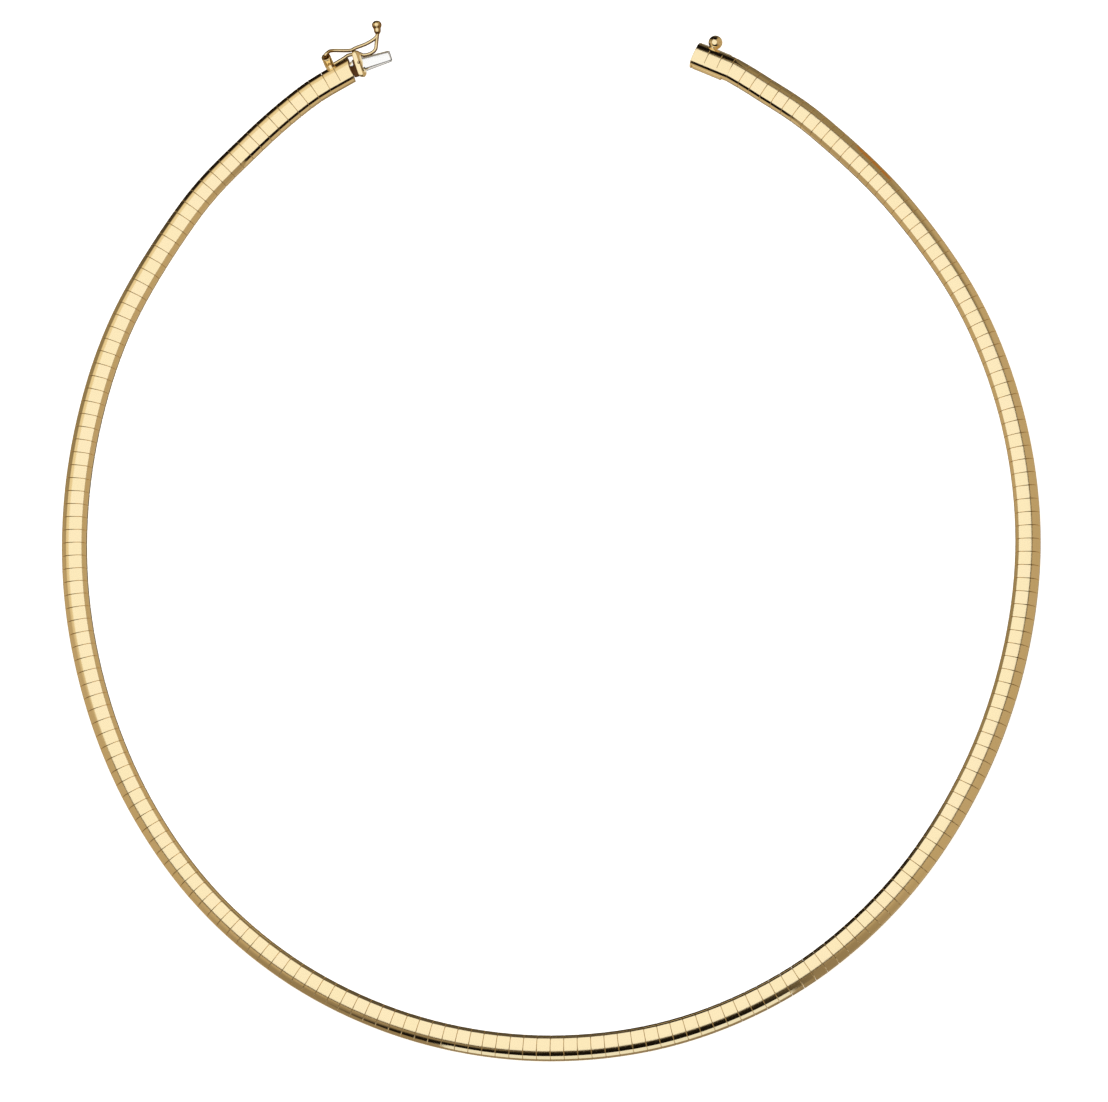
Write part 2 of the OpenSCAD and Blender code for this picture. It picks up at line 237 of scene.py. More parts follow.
# %% Diffuser
DISC_MID = (-18, 30, 125)
DISC_HALF = (118, 127)
DISC_STRENGTH = 1.02
RIM = 1.08
RIM_OPEN = (0.27, 0.56)
SIDES = 96
disc_points = [Vector(DISC_MID) * MM]
for share in (1.0, RIM):
    for i in range(SIDES):
        a = 2 * math.pi * i / SIDES
        disc_points.append(Vector((DISC_MID[0] + DISC_HALF[0] * share * math.cos(a),
                                   DISC_MID[1] + DISC_HALF[1] * share * math.sin(a),
                                   DISC_MID[2])) * MM)
disc_faces = [(0, 1 + (i + 1) % SIDES, 1 + i) for i in range(SIDES)]
rim_faces = [(1 + i, 1 + (i + 1) % SIDES, 1 + SIDES + (i + 1) % SIDES, 1 + SIDES + i)
             for i in range(SIDES) if not SIDES * RIM_OPEN[0] < i < SIDES * RIM_OPEN[1]]
disc_mesh = bpy.data.meshes.new("diffuser")
disc_mesh.from_pydata([tuple(p) for p in disc_points], [], disc_faces + rim_faces)
diffuser = bpy.data.objects.new("diffuser", disc_mesh)
bpy.context.scene.collection.objects.link(diffuser)
diffuser.data.materials.append(glowing("diffuser_white", (1, 1, 1, 1), DISC_STRENGTH))
diffuser.data.materials.append(glowing("diffuser_rim", (0.10, 0.08, 0.05, 1), 1.0))
for face in disc_mesh.polygons[len(disc_faces):]:
    face.material_index = 1
diffuser.visible_camera = False
print("diffuser, mm across:", 2 * DISC_HALF[0], "x", 2 * DISC_HALF[1], "at a height of", DISC_MID[2])

# %% [markdown]
# ## Cards close to the necklace
# Some reflections show on a few plates only, so their cause stood close by. Along the bottom of
# the ring a pale stripe lies below the black one: a low white card bent round the near
# side. Dark cards stand near both ends, with low warm ones under the two inner ones. One small
# amber thing stands near the right shoulder of the ring, and a small white card before the
# tongue. Every card glows or stays dark by itself and is hidden from the camera, so only the
# gold shows them.

# %% Card helpers
def stand_card(name, corners, material):
    """A card hung on a row of upright edges; each corner is x, y, lower and upper height in mm."""
    points = [(Vector((x, y, z)) * MM)[:] for x, y, low, high in corners for z in (low, high)]
    faces = [(2 * i, 2 * i + 1, 2 * i + 3, 2 * i + 2) for i in range(len(corners) - 1)]
    mesh = bpy.data.meshes.new(name)
    mesh.from_pydata(points, [], faces)
    card = bpy.data.objects.new(name, mesh)
    bpy.context.scene.collection.objects.link(card)
    card.data.materials.append(material)
    card.visible_camera = False
    card.visible_diffuse = False


def flat_card(name, x, y, bearing, half, low, high, material):
    """An upright card with its middle at x, y, square to a bearing."""
    a = math.radians(bearing)
    corners = [(x + side * half * math.cos(a), y - side * half * math.sin(a), low, high)
               for side in (-1, 1)]
    stand_card(name, corners, material)


# %% Cards
RING_MID = (0.8, -5.0)
CARD_R = 128
CARD_FROM = 151
CARD_TURN = 46
CARD_STEPS = 24
CARD_LOW = -26
CARD_HIGH = 33
around = []
for i in range(CARD_STEPS + 1):
    a = math.radians(CARD_FROM + CARD_TURN * i / CARD_STEPS)
    around.append((RING_MID[0] + CARD_R * math.sin(a), RING_MID[1] + CARD_R * math.cos(a),
                   CARD_LOW, CARD_HIGH))
stand_card("white_card", around, glowing("white_board", (0.95, 0.97, 0.98, 1), 0.95))
black_board = glowing("black_board", (0.006, 0.004, 0.003, 1), 1.0)
flat_card("dark_card_box_outer", 27.5, 92, 3, 8, 4, 26, black_board)
flat_card("dark_card_box_inner", 20.7, 59.4, 212, 7.5, -0.7, 10.7, black_board)
flat_card("dark_card_cap_inner", -31.5, 57.0, 158, 9, -0.7, 10.7, black_board)
low_board = glowing("low_warm_board", (0.60, 0.49, 0.34, 1), 1.0)
flat_card("low_card_box", 20.7, 59.4, 212, 8.5, -30, -0.7, low_board)
flat_card("low_card_cap", -31.5, 57.0, 158, 9, -30, -0.7, low_board)
amber_board = glowing("amber_board", (0.42, 0.17, 0.035, 1), 1.0)
flat_card("amber_card", 63.6, 75.7, 25, 4.5, -5, 15, amber_board)
white_tip_board = glowing("white_tip_board", (0.95, 0.96, 0.98, 1), 0.9)
flat_card("white_card_tip", -20.3, 79.6, 64, 4, -2, 3.5, white_tip_board)
print("white card, mm from the middle of the ring:", CARD_R)

# %% [markdown]
# ## The table
# A plain white table that glows a little, like a light table, so no shadow shows on it. The gold
# doesn't reflect it: below the horizon it shows the surroundings of the last cells instead,
# because the real table was darker than white towards the far side.

# %% Table
TABLE_HALF = 2.5
TABLE_DROP = 0.00002
table_mesh = bpy.data.meshes.new("table")
table_corners = [(x * TABLE_HALF, y * TABLE_HALF, 0) for x, y in ((-1, -1), (1, -1), (1, 1), (-1, 1))]
table_mesh.from_pydata(table_corners, [], [(0, 1, 2, 3)])
table = bpy.data.objects.new("table", table_mesh)
bpy.context.scene.collection.objects.link(table)
table.location.z = -TABLE_DROP
table.visible_glossy = False
paper, _, paper_shader = new_material("white_paper")
paper_shader.inputs["Base Color"].default_value = (0.9, 0.9, 0.9, 1)
paper_shader.inputs["Roughness"].default_value = 0.9
paper_shader.inputs["Specular IOR Level"].default_value = 0.1
paper_shader.inputs["Emission Color"].default_value = (1, 1, 1, 1)
paper_shader.inputs["Emission Strength"].default_value = 0.9
table.data.materials.append(paper)
print("table, m across:", 2 * TABLE_HALF)

# %% [markdown]
# ## The band's middle line
# Every plate stands on one line, given by a few bearings and distances from the middle of the
# ring. A Catmull-Rom curve passes through its points, so the ring can be drawn with few
# numbers. The line is straight inside the box and inside the cap, which are rigid.

# %% Middle line
ROUTE = [
    (15.9, 83.65), (19, 83.2), (24, 81.7), (32, 79.8), (45, 77.25), (60, 75.5), (75, 74.2),
    (90, 73.55), (105, 73.3), (120, 73.85), (135, 75), (150, 76.05), (165, 76.4), (180, 76.1),
    (195, 75.55), (210, 74.95), (225, 74.3), (240, 73.75), (255, 73.8), (270, 74.8), (285, 76.5),
    (300, 79), (315, 81.7), (325, 83.6), (333, 85.6), (338.7, 86.5),
]
BOX_L = 6.45
CAP_L = 4.8


def catmull(a, b, c, d, t):
    """A point between b and c on the smooth curve through a, b, c and d."""
    return 0.5 * (2 * b + (c - a) * t + (2 * a - 5 * b + 4 * c - d) * t * t
                  + (3 * b - a - 3 * c + d) * t ** 3)


marks = []
for bearing, radius in ROUTE:
    b = math.radians(bearing)
    marks.append(Vector((RING_MID[0] + radius * math.sin(b), RING_MID[1] + radius * math.cos(b))))
knots = [2 * marks[0] - marks[1], *marks, 2 * marks[-1] - marks[-2]]
PARTS = 12
line = [catmull(*knots[i:i + 4], j / PARTS) for i in range(len(marks) - 1) for j in range(PARTS)]
line.append(marks[-1])
run = [0.0]
for i in range(1, len(line)):
    run.append(run[-1] + (line[i] - line[i - 1]).length)
BAND_L = run[-1]
print("band length, mm:", round(BAND_L, 1))


# %% Places along the line
def on_curve(s):
    """The point at the distance s along the drawn curve."""
    low, high = 0, len(run) - 1
    while high - low > 1:
        middle = (low + high) // 2
        if run[middle] <= s:
            low = middle
        else:
            high = middle
    return line[low].lerp(line[high], (s - run[low]) / (run[high] - run[low]))


def at(s):
    """The point at the distance s, on straight lines in the box and in the cap."""
    if s < BOX_L:
        return on_curve(0).lerp(on_curve(BOX_L), s / BOX_L)
    if s > BAND_L - CAP_L:
        return on_curve(BAND_L).lerp(on_curve(BAND_L - CAP_L), (BAND_L - s) / CAP_L)
    return on_curve(s)


def along(s):
    """The unit direction of the band at the distance s."""
    step = at(min(s + 1, BAND_L)) - at(max(s - 1, 0))
    return step.normalized()


def on_band(s, y, z):
    """A point s along the band, y outwards from its middle and z up, in metres."""
    point = at(s)
    ahead = along(s)
    return Vector((point.x - ahead.y * y, point.y + ahead.x * y, z)) * MM


print("mouth of the box, mm:", [round(v, 1) for v in at(0)])
print("end of the cap, mm:", [round(v, 1) for v in at(BAND_L)])

# %% [markdown]
# ## Mesh helpers
# A swept piece is a stack of rings. Neighbouring rings are joined by four-sided faces, and
# the first and the last ring are closed. Writing this once keeps the pieces short.

# %% Swept rings
def make_piece(name, points, faces):
    """A mesh object from points in metres and faces, every face turned outwards."""
    mesh = bpy.data.meshes.new(name)
    mesh.from_pydata([tuple(p) for p in points], [], faces)
    mesh.validate()
    work = bmesh.new()
    work.from_mesh(mesh)
    bmesh.ops.remove_doubles(work, verts=work.verts, dist=1e-7)
    bmesh.ops.recalc_face_normals(work, faces=work.faces)
    work.to_mesh(mesh)
    work.free()
    piece = bpy.data.objects.new(name, mesh)
    bpy.context.scene.collection.objects.link(piece)
    return piece


def skin(count, rings, start=0, ends=True):
    """Faces that join rings of count points each, with the two ends closed."""
    faces = []
    for i in range(rings - 1):
        for j in range(count):
            k = (j + 1) % count
            a = start + i * count
            b = a + count
            faces.append((a + j, b + j, b + k, a + k))
    if ends:
        faces.append(tuple(start + j for j in range(count)))
        faces.append(tuple(start + (rings - 1) * count + j for j in reversed(range(count))))
    return faces


def joined(name, chains, open_chains=()):
    """One object from chains of rings; an open chain has no end faces."""
    points = []
    faces = []
    for rings in [*chains, *open_chains]:
        faces += skin(len(rings[0]), len(rings), len(points), ends=rings not in open_chains)
        points += [p for ring in rings for p in ring]
    return make_piece(name, points, faces)


def smooth_by_angle(piece, degrees):
    """Smooth shading, except over edges sharper than the angle."""
    for face in piece.data.polygons:
        face.use_smooth = True
    piece.data.set_sharp_from_angle(angle=math.radians(degrees))


# %% [markdown]
# ## The plates
# Each plate is a strip of sheet gold, domed on top, folded down both sides and under the core.
# Its section is drawn as arcs that run into each other: a low crown between two round
# shoulders. On a dome the edge of a reflection falls where the surroundings put it, and that
# is what gives the band its bright middle and its darker sides.

# %% Section of a plate
BAND_W = 3.85
BAND_H = 2.1
SHOULDER_R = 1.18
CROWN_R = 5.0
SHEET = 0.25
LIP_W = 0.9
HALF_W = BAND_W / 2
CROWN_TURN = math.asin((HALF_W - SHOULDER_R) / (CROWN_R - SHOULDER_R))
SHOULDER_Z = BAND_H - CROWN_R + (CROWN_R - SHOULDER_R) * math.cos(CROWN_TURN)


def half_section(inset, base, corner, crown_steps, shoulder_steps):
    """The right half of the section, drawn in by inset, from the crown's middle to the base."""
    points = []
    for i in range(crown_steps):
        a = CROWN_TURN * i / crown_steps
        points.append(((CROWN_R - inset) * math.sin(a), BAND_H - CROWN_R + (CROWN_R - inset) * math.cos(a)))
    for i in range(shoulder_steps + 1):
        a = CROWN_TURN + (math.pi / 2 - CROWN_TURN) * i / shoulder_steps
        points.append((HALF_W - SHOULDER_R + (SHOULDER_R - inset) * math.sin(a),
                       SHOULDER_Z + (SHOULDER_R - inset) * math.cos(a)))
    half = HALF_W - inset
    points += [(half, base + corner), (half - corner, base)]
    return points


FOLD = 0.08
LIP_ROUND = 0.05
outer_half = half_section(0, 0, FOLD, 3, 9)
inner_half = half_section(SHEET, SHEET, LIP_ROUND, 1, 3)
lip_end = HALF_W - LIP_W
solid_section = [(-y, z) for y, z in reversed(outer_half[1:])] + outer_half
lip_half = outer_half + [(lip_end + LIP_ROUND, 0), (lip_end, LIP_ROUND)]
plate_outer = [(-y, z) for y, z in reversed(lip_half[1:])] + lip_half
inner_right = inner_half + [(lip_end, SHEET)]
plate_section = plate_outer + list(reversed(inner_right)) + [(-y, z) for y, z in inner_right[1:]]
outer_count = len(plate_outer)
print("points in a plate's section:", len(plate_section))

# %% [markdown]
# The plates are cut from the band by the same sum as in the solids, and each one is
# rounded a little at its two ends, because a polished edge always is. The rounding draws the
# fine line between two plates.

# %% Places of the plates
PLATE_COUNT = 203
PLATE_GAP = 0.18
END_GAP = 0.35
SEEN_GAP = 0.045
plates_from = BOX_L + END_GAP
plates_to = BAND_L - CAP_L - END_GAP
pitch = (plates_to - plates_from + PLATE_GAP) / PLATE_COUNT
END_STATIONS = [(0.0, 0.035), (0.014, 0.012), (0.035, 0.0), (0.06, 0.0)]
print("pitch of the plates, mm:", round(pitch, 3))


# %% A section drawn in
def shrunk(section, count, amount):
    """The section with its outer points moved in by amount."""
    points = []
    for i, (y, z) in enumerate(section):
        if i >= count or amount == 0:
            points.append((y, z))
            continue
        before = section[max(i - 1, 0)]
        after = section[min(i + 1, count - 1)]
        run_y = after[0] - before[0]
        run_z = after[1] - before[1]
        length = math.hypot(run_y, run_z)
        points.append((y + amount * run_z / length, z - amount * run_y / length))
    return points


# %% Plates
plate_points = []
plate_faces = []
seen_l = pitch - SEEN_GAP
for number in range(PLATE_COUNT):
    middle = plates_from + pitch * (number + 0.5) - PLATE_GAP / 2
    begin = BOX_L + SEEN_GAP if number == 0 else middle - seen_l / 2
    finish = BAND_L - CAP_L - SEEN_GAP if number == PLATE_COUNT - 1 else middle + seen_l / 2
    start = len(plate_points)
    for x, cut in END_STATIONS:
        for y, z in shrunk(plate_section, outer_count, cut):
            plate_points.append(on_band(begin + x, y, z))
    for x, cut in reversed(END_STATIONS):
        for y, z in shrunk(plate_section, outer_count, cut):
            plate_points.append(on_band(finish - x, y, z))
    plate_faces += skin(len(plate_section), 2 * len(END_STATIONS), start)
plates = make_piece("crowned_plates", plate_points, plate_faces)
smooth_by_angle(plates, 50)
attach(plates, "necklace")
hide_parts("plates")
print("plates:", PLATE_COUNT, "faces:", len(plate_faces))

# %% [markdown]
# ## The woven core
# The plates are folded over a flat mesh of fine gold wire. Turned over, the necklace shows it
# between the lips: columns of small V-shaped links. The links are modelled, not only
# shaded, because they can be seen from the side and from below.

# %% Relief of the weave
CORE_W = 3.0
CORE_T = 1.0
CORE_Z = 0.31
CORE_SEAT = 1.2
CORE_CLEAR = 0.06
CORE_CORNER = 0.2
RELIEF = 0.11
LINK = 0.5
COLUMNS = 6
ACROSS = 3
ALONG = 3
core_from = BOX_L - CORE_SEAT + CORE_CLEAR
core_to = BAND_L - CAP_L + CORE_SEAT - CORE_CLEAR


def weave(s, y):
    """How far the wire stands out at a place, from 0 in the joints to 1 on the wire."""
    column = (y / (CORE_W / COLUMNS)) % 1
    climb = abs(column - 0.5) * 2
    step = (s / LINK + 0.5 * climb) % 1
    wire = math.sqrt(max(0.0, 1 - (2 * step - 1) ** 2))
    return wire * (0.35 + 0.65 * math.sin(math.pi * min(1, climb + 0.25)))


print("links in the length of the core:", round((core_to - core_from) / LINK))

# %% Woven core
cells = COLUMNS * ACROSS
rings = int((core_to - core_from) / LINK * ALONG)
core_top = CORE_Z + CORE_T
core_back = [(CORE_W / 2, core_top - CORE_CORNER), (CORE_W / 2 - CORE_CORNER, core_top),
             (CORE_CORNER - CORE_W / 2, core_top), (-CORE_W / 2, core_top - CORE_CORNER)]
core_points = []
for i in range(rings + 1):
    s = core_from + (core_to - core_from) * i / rings
    for j in range(cells + 1):
        y = -CORE_W / 2 + CORE_W * j / cells
        core_points.append(on_band(s, y, CORE_Z + RELIEF * (1 - weave(s, y))))
    for y, z in core_back:
        core_points.append(on_band(s, y, z))
core_faces = skin(cells + 1 + len(core_back), rings + 1)
core = make_piece("woven_mesh_core", core_points, core_faces)
smooth_by_angle(core, 60)
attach(core, "necklace")
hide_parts("woven_core")
print("core faces:", len(core_faces))

# %% [markdown]
# ## Frames and rings for the clasp
# The box, the cap and the tongue are rigid, so each gets its own frame: x ahead, y outwards
# and z up. A chain of rings can also turn inwards at a mouth and run back inside, and so one
# chain draws a hollow box with its walls. Every edge is drawn with a small round, because
# that round is what catches the light on polished metal.

# %% Frames
def rigid(s, turned=0.0):
    """A function that places points ahead, outwards and up from a place on the band."""
    origin = at(s)
    a = math.atan2(along(s).y, along(s).x) + turned

    def place(x, y, z):
        return Vector((origin.x + math.cos(a) * x - math.sin(a) * y,
                       origin.y + math.sin(a) * x + math.cos(a) * y, z)) * MM

    return place


TONGUE_TURN = math.radians(11)
by_box = rigid(0)
by_cap = rigid(BAND_L)
by_tongue = rigid(BAND_L, -TONGUE_TURN)
print("the tongue is turned by, degrees:", round(math.degrees(TONGUE_TURN)))


# %% Edges and mouths
def edge(r):
    """A rounded edge, as distances from the end and how far the section is drawn in there."""
    return [(0, r), (0.134 * r, 0.5 * r), (0.5 * r, 0.134 * r), (r, 0), (2.2 * r, 0)]


def opening(section, half, low, high):
    """A rectangle with as many points as the section, to join the two by faces."""
    middle = (low + high) / 2
    points = []
    for y, z in section:
        share = min(half / max(abs(y), 1e-6), (high - low) / 2 / max(abs(z - middle), 1e-6))
        points.append((y * share, middle + (z - middle) * share))
    for corner in [(half, low), (half, high), (-half, low), (-half, high)]:
        nearest = min(range(len(points)), key=lambda i: math.dist(points[i], corner))
        points[nearest] = corner
    return points


# %% Scored lines
GROOVE = [(-0.04, 0), (0, 0), (0.02, 0.3), (0.06, 1), (0.1, 0.3), (0.12, 0), (0.16, 0)]


def all_in(section, cut):
    """The whole section drawn in by cut."""
    return shrunk(section, len(section), cut)


def scored(section, deep, low):
    """The section with its part above a height drawn in, like a file cut across the crown."""
    inner = all_in(section, deep)
    return [q if p[1] > low else p for p, q in zip(section, inner)]


def groove(x, section, deep, low):
    """Stations of a scored line that begins at x and is deepest in its middle."""
    return [(x + step, scored(section, deep * share, low)) for step, share in GROOVE]


# %% Turned and bent pieces
def placed(stations, place):
    """Rings from stations of a section."""
    return [[place(x, y, z) for y, z in section] for x, section in stations]


def turned_on(foot, axis, profile, sides, place):
    """Rings of a piece turned on a lathe: distances along its axis and radii."""
    side = axis.orthogonal().normalized()
    other = axis.cross(side)
    rings = []
    for t, r in profile:
        ring = []
        for j in range(sides):
            a = 2 * math.pi * j / sides
            ring.append(place(*(foot + axis * t + (side * math.cos(a) + other * math.sin(a)) * r)))
        rings.append(ring)
    return rings


def round_bar(way, widths, sides, place):
    """Rings round a way, with the section carried round each bend without a twist."""
    rings = []
    side = (way[1] - way[0]).normalized().orthogonal()
    for i, p in enumerate(way):
        ahead = (way[min(i + 1, len(way) - 1)] - way[max(i - 1, 0)]).normalized()
        side = (side - ahead * side.dot(ahead)).normalized()
        other = ahead.cross(side)
        ring = []
        for j in range(sides):
            a = 2 * math.pi * j / sides
            ring.append(place(*(p + (side * math.cos(a) + other * math.sin(a)) * widths[i] / 2)))
        rings.append(ring)
    return rings


# %% [markdown]
# ## The box
# The box is the last length of the band, closed underneath. Two scored lines go on with the
# rhythm of the plates, and a tray is soldered round its foot. The ball knob on its outer side is
# where the safety catch snaps on. The walls run back inside, round the socket for the tongue.

# %% Body of the box
SCORE_DEEP = 0.03
SCORE_LOW = 1.9
TRAY_H = 1.1
TRAY_L = 5.4
TRAY_WALL = 0.2
SOCKET_L = 4.45
SEAT = (1.56, 0.25, 1.37)
mouth = opening(solid_section, 1.1, 0.3, 1.75)
mouth_round = opening(solid_section, 1.115, 0.285, 1.765)
mouth_rim = opening(solid_section, 1.15, 0.25, 1.8)
seat = opening(solid_section, *SEAT)
stations = [(SOCKET_L, mouth), (0.2, mouth), (0.05, mouth), (0.015, mouth_round), (0, mouth_rim)]
stations += [(x, all_in(solid_section, cut)) for x, cut in edge(0.06)]
for score_at in (2.2, 4.35):
    stations += groove(score_at, solid_section, SCORE_DEEP, SCORE_LOW)
stations += [(BOX_L - x, all_in(solid_section, cut)) for x, cut in reversed(edge(0.05))]
stations += [(BOX_L, seat), (BOX_L - CORE_SEAT, seat)]
box_chains = [placed(stations, by_box)]
print("rings of the box:", len(stations))

# %% Tray wall
wall_side = HALF_W + TRAY_WALL
wall_half = [(HALF_W - 0.06, 0), (HALF_W - 0.06, TRAY_H), (HALF_W, TRAY_H),
             (wall_side - 0.06, TRAY_H - 0.27), (wall_side - 0.01, TRAY_H - 0.38),
             (wall_side, TRAY_H - 0.48), (wall_side, 0.06), (wall_side - 0.02, 0.02), (wall_side - 0.06, 0)]


def wall(side, cut):
    """The tray wall's section on one side, its free side and its top drawn in by cut."""
    return [(side * (y - cut * (y > HALF_W)), z - cut * (z > 0.5)) for y, z in wall_half]


for side in (1, -1):
    for begin, end in ((0, 0.3), (0.44, TRAY_L)):
        stations = [(begin + x, wall(side, cut)) for x, cut in edge(0.05)]
        stations += [(end - x, wall(side, cut)) for x, cut in reversed(edge(0.05))]
        box_chains.append(placed(stations, by_box))
print("height of the tray, mm:", TRAY_H)

# %% Ball knob
KNOB_R = 1.1
knob_mid = Vector((2.25, HALF_W + 1.0, KNOB_R))
profile = [(-1.2, 0.5), (-1.02, 0.62), (-0.95, 0.6), (-0.9, 0.61)]
for degrees in range(36, 180, 6):
    a = math.radians(degrees)
    profile.append((-KNOB_R * math.cos(a), KNOB_R * math.sin(a)))
profile.append((KNOB_R, 0.02))
box_chains.append(turned_on(knob_mid, Vector((0, 1, 0)), profile, 40, by_box))
box = joined("clasp_box_with_knob", box_chains)
print("box chains:", len(box_chains))

# %% [markdown]
# ## The cap and its hinge tube
# The cap closes the other end. Its front is cut square with the tongue, eleven degrees
# out of line with the band, and has a narrow bevel. The tube of the hinge leans outwards beside
# it and is soldered on; the solder is a low collar between the two. The tube is a lathe profile
# that closes on itself, so its bore is open at both ends.

# %% Tongue cap
BEVEL_Z = BAND_H - 0.2
CUT_BACK = 0.3
CAP_SCORE_AT = 2.8
SLOT_L = 1.06
FACE_NARROWER = 0.965
FACE_LOW = 0.06
bevel_turn = math.acos((BEVEL_Z - SHOULDER_Z) / SHOULDER_R)
bevel_y = HALF_W - SHOULDER_R + SHOULDER_R * math.sin(bevel_turn)
cap_section = list(solid_section)
for corner in [(bevel_y, BEVEL_Z), (-bevel_y, BEVEL_Z)]:
    nearest = min(range(len(cap_section)), key=lambda i: math.dist(cap_section[i], corner))
    cap_section[nearest] = corner


def on_end(y, z, back=0.0):
    """A point on the cap's bevelled end, in metres."""
    slope = min(0, BEVEL_Z - z) / math.cos(TONGUE_TURN)
    return by_cap(y * math.tan(TONGUE_TURN) + slope - CUT_BACK - back, y, z)


seat = opening(cap_section, *SEAT)
slot = opening(cap_section, 0.86, 0.34, 0.71)
stations = [(CORE_SEAT - CAP_L, seat), (-CAP_L, seat)]
stations += [(x - CAP_L, all_in(cap_section, cut)) for x, cut in edge(0.05)]
stations += groove(-CAP_SCORE_AT, cap_section, SCORE_DEEP, SCORE_LOW)
cap_rings = placed(stations, by_cap)
for x, cut in reversed(edge(0.03)):
    cap_rings.append([on_end(y, z, x) for y, z in all_in(cap_section, cut)])
cap_rings.append([on_end(y * FACE_NARROWER, min(z, BEVEL_Z) if z > 0.1 else FACE_LOW)
                  for y, z in cap_section])
cap_rings.append([on_end(y, z) for y, z in slot])
cap_rings.append([on_end(y, z, SLOT_L) for y, z in slot])
print("rings of the cap:", len(cap_rings))

# %% Hinge tube
TUBE_R = 0.75
BORE_R = 0.41
TUBE_L = 2.3
TUBE_LEAN = math.radians(20)
TUBE_BACK = 3.05
TUBE_OUT = 0.45
TUBE_Z = 0.7
hinge_foot = Vector((-TUBE_BACK, HALF_W + TUBE_OUT, TUBE_Z))
hinge_axis = Vector((math.sin(TUBE_LEAN) * math.sin(TONGUE_TURN),
                     math.sin(TUBE_LEAN) * math.cos(TONGUE_TURN), math.cos(TUBE_LEAN)))


def on_hinge(t):
    """A point of the hinge's axis, t from the tube's foot, in the cap's frame."""
    return hinge_foot + hinge_axis * t


rim = [(0.1, TUBE_R), (0.05, TUBE_R - 0.01), (0.015, TUBE_R - 0.04), (0, TUBE_R - 0.09),
       (0, BORE_R + 0.08), (0.015, BORE_R + 0.035), (0.05, BORE_R + 0.008), (0.1, BORE_R)]
profile = [(TUBE_L - t, r) for t, r in rim] + [(TUBE_L - 0.4, BORE_R), (0.4, BORE_R)]
profile += list(reversed(rim)) + [(0.3, TUBE_R), (TUBE_L - 0.3, TUBE_R), (TUBE_L - 0.1, TUBE_R)]
tube_rings = turned_on(hinge_foot, hinge_axis, profile, 48, by_cap)
collar = [(-0.6, 0.72), (0.0, 0.74), (0.06, 0.6), (0.12, 0.42), (0.16, 0.2)]
collar_rings = turned_on(Vector((-TUBE_BACK, HALF_W, 1.2)), Vector((0, 1, 0)), collar, 24, by_cap)
cap = joined("tongue_cap_with_hinge", [cap_rings, collar_rings], [tube_rings])
print("rings of the tube:", len(tube_rings))

# %% [markdown]
# ## The tongue and the stop bar
# The tongue is one strip of white gold, folded back on itself at the tip; its upper leaf is the
# spring of the clasp. A strip like this is swept along its own way, so the fold comes by itself.
# Between the cap and the bar lies its neck, white on the outer side and dark brown elsewhere:
# that brown is painted shade in the gap between the cap and the bar. The stop bar is the gold
# piece that the fingers press. It has a flat outer half and an inner half that falls away a
# little, with a small dark brown disc between, a painted shade of a punched dimple.

# %% Width of the tongue
LEAF = 0.25
LOWER_WIDER = 0.06
UPPER_WIDER = -0.04
TONGUE_Z = 0.4
TONGUE_H = 1.25
FOLD_R = 0.34
BAR_FRONT = 1.8
TIP_X = BAR_FRONT + 4.5
TIP_ROUND = 0.32
NECK_HALF = 0.8
TONGUE_HALF = 1
TAPER = 0.13
fold_x = TIP_X - FOLD_R
leaf_slope = (TONGUE_H - 2 * FOLD_R) / (fold_x - BAR_FRONT)


def tongue_half(x):
    """Half the width of the tongue at x."""
    shoulder = BAR_FRONT + 0.06
    if x < shoulder:
        return NECK_HALF
    half = TONGUE_HALF - TAPER * (x - shoulder) / (TIP_X - shoulder)
    past = min(1, max(0, (x - TIP_X + TIP_ROUND) / TIP_ROUND))
    return half - 0.7 * TIP_ROUND * (1 - math.sqrt(1 - past * past))


print("length of the tongue, mm:", round(TIP_X - BAR_FRONT, 2))

# %% Way of the strip
SOFT = 0.11
half_leaf = LEAF / 2
fold_mid = FOLD_R - half_leaf
leaf_stops = (1.2, 1.855, 1.865, 3, 4.5, fold_x - 0.1)
strip_way = [(x, TONGUE_Z + half_leaf, 0, -1) for x in leaf_stops]
for turned in range(-90, 91, 15):
    a = math.radians(turned)
    strip_way.append((fold_x + fold_mid * math.cos(a), TONGUE_Z + FOLD_R + fold_mid * math.sin(a),
                      math.cos(a), math.sin(a)))
tilt = math.atan(leaf_slope)
for x in reversed(leaf_stops):
    upper_z = TONGUE_Z + 2 * FOLD_R - half_leaf + (fold_x - x) * leaf_slope
    strip_way.append((x, upper_z, math.sin(tilt), math.cos(tilt)))


def strip_ring(x, z, out_x, out_z, w=None, mid=0.0):
    """The strip's section with soft edges, square to the way at a point of it."""
    w = w or tongue_half(x) + (LOWER_WIDER if out_z < 0 else UPPER_WIDER)
    rim = []
    for across, up in ((1, 1), (1, -1), (-1, -1), (-1, 1)):
        for step in range(4):
            a = math.radians(90 - 30 * step if across * up > 0 else 30 * step)
            rim.append((across * (w - SOFT + SOFT * math.cos(a)),
                        up * (half_leaf - SOFT + SOFT * math.sin(a))))
    return [by_tongue(x + out_x * n, mid + y, z + out_z * n) for y, n in rim]


print("rings of the strip:", len(strip_way))


# %% Neck and folded tongue
def neck_ring(x, inner, outer):
    """The neck's section from its inner edge to its outer edge, both counted outwards."""
    return strip_ring(x, TONGUE_Z + half_leaf, 0, -1, (outer - inner) / 2, (outer + inner) / 2)


